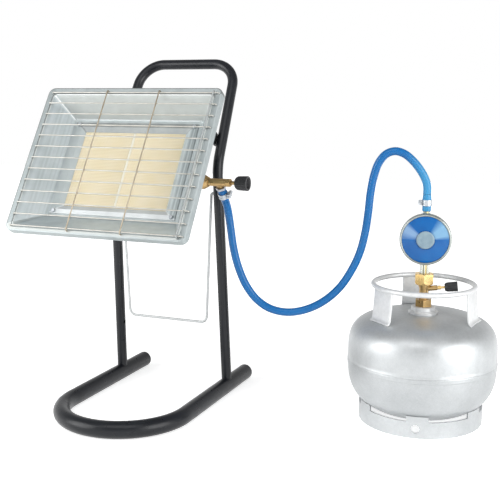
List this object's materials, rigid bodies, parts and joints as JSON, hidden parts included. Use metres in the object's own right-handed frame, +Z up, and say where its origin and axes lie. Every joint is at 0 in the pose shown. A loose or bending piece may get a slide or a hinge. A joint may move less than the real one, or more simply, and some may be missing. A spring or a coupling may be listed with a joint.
{
  "type": "portable radiant gas heater with cylinder",
  "caption": "Tilting ceramic-tile gas heater head on a bent tube stand, joined by a blue hose and regulator to a small gas cylinder.",
  "frame": {"origin": "on the floor, under the centre line of the front of the foot tube, midway between its arms", "axes": "+X to the heater's right and along the set's greatest length, -Y out of the heater's front, +Z up"},
  "size_m": [0.7074, 0.4057, 0.5671],
  "materials": {
    "black_paint": "satin black paint",
    "black_plastic": "black moulded plastic",
    "galvanised": "bright zinc-coated sheet",
    "bright_wire": "bright plated wire",
    "grey_wire": "pale grey wire",
    "ceramic": "unglazed, finely pierced",
    "fibre": "pressed ceramic fibre",
    "brass": "machined",
    "steel": "zinc-plated steel",
    "zinc": "bright plated",
    "blue_hose": "smooth blue hose",
    "blue_enamel": "glossy blue",
    "grey_plastic": "pale grey plastic",
    "black_rubber": "black rubber",
    "silver_paint": "silver paint"
  },
  "bodies": {
    "stand_and_cylinder": {"clamp_screw_regulator": "zinc", "coupling_nut": "brass", "cylinder_gland": "brass", "cylinder_lower_shell": "silver_paint", "cylinder_upper_shell": "silver_paint", "cylinder_valve": "brass", "floor_foot": "black_paint", "foot_cap_left": "black_plastic", "foot_cap_right": "black_plastic", "foot_ring": "silver_paint", "frame_tube": "black_paint", "gas_hose": "blue_hose", "handle_ring": "silver_paint", "handle_strap_1": "silver_paint", "handle_strap_2": "silver_paint", "handle_strap_3": "silver_paint", "hose_clamp_regulator": "zinc", "hose_end_regulator": "blue_hose", "neck_boss": "silver_paint", "regulator_body": "zinc", "regulator_cap": "grey_plastic", "regulator_diaphragm": "black_rubber", "regulator_face": "blue_enamel", "regulator_rim": "zinc", "regulator_spring": "steel", "sealing_washer": "black_rubber", "tilt_bolt_left": "steel", "tilt_bolt_right": "steel", "tilt_washer_left": "steel", "tilt_washer_right": "steel"},
    "head": {"reflector": "galvanised", "tile_frame": "galvanised", "ceramic_tile_left": "ceramic", "ceramic_tile_right": "ceramic", "tile_gasket": "fibre", "burner_box": "galvanised", "tilt_bracket": "black_paint", "wire_guard": "bright_wire", "tile_frame_screw_1": "zinc", "tile_frame_screw_2": "zinc", "tile_frame_screw_3": "zinc", "tile_frame_screw_4": "zinc", "bracket_screw_1": "zinc", "bracket_screw_2": "zinc", "bracket_screw_3": "zinc", "bracket_screw_4": "zinc", "venturi_tube": "steel", "air_shroud": "brass", "injector": "brass", "heater_valve_body": "brass", "gland_nut": "brass", "hose_tail": "steel", "hose_end_heater": "blue_hose", "hose_clamp_heater": "zinc", "clamp_screw_heater": "zinc"},
    "heater_knob": {"heater_knob": "black_plastic", "heater_valve_spindle": "brass"},
    "cylinder_knob": {"cylinder_knob": "black_plastic", "cylinder_spindle": "brass"},
    "bail": {"wire_bail": "grey_wire"}
  },
  "joints": [
    {"name": "head_tilt", "type": "hinge", "parent": "stand_and_cylinder", "child": "head", "pos_m": [0, 0.26865, 0.4335], "axis": [1, 0, 0], "range_deg": [-15, 30], "deforming": ["gas_hose"]},
    {"name": "heater_knob_turn", "type": "hinge", "parent": "head", "child": "heater_knob", "pos_m": [0.1605, 0.15772, 0.37516], "axis": [1, 0, 0], "range_deg": [0, 270]},
    {"name": "cylinder_knob_turn", "type": "hinge", "parent": "stand_and_cylinder", "child": "cylinder_knob", "pos_m": [0.46118, 0.2804, 0.21236], "axis": [0.9736, 0.1981, 0.1132], "range_deg": [0, 720]},
    {"name": "bail_swing", "type": "hinge", "parent": "stand_and_cylinder", "child": "bail", "pos_m": [0, 0.2465, 0.3475], "axis": [1, 0, 0], "range_deg": [-10, 90]}
  ]
}
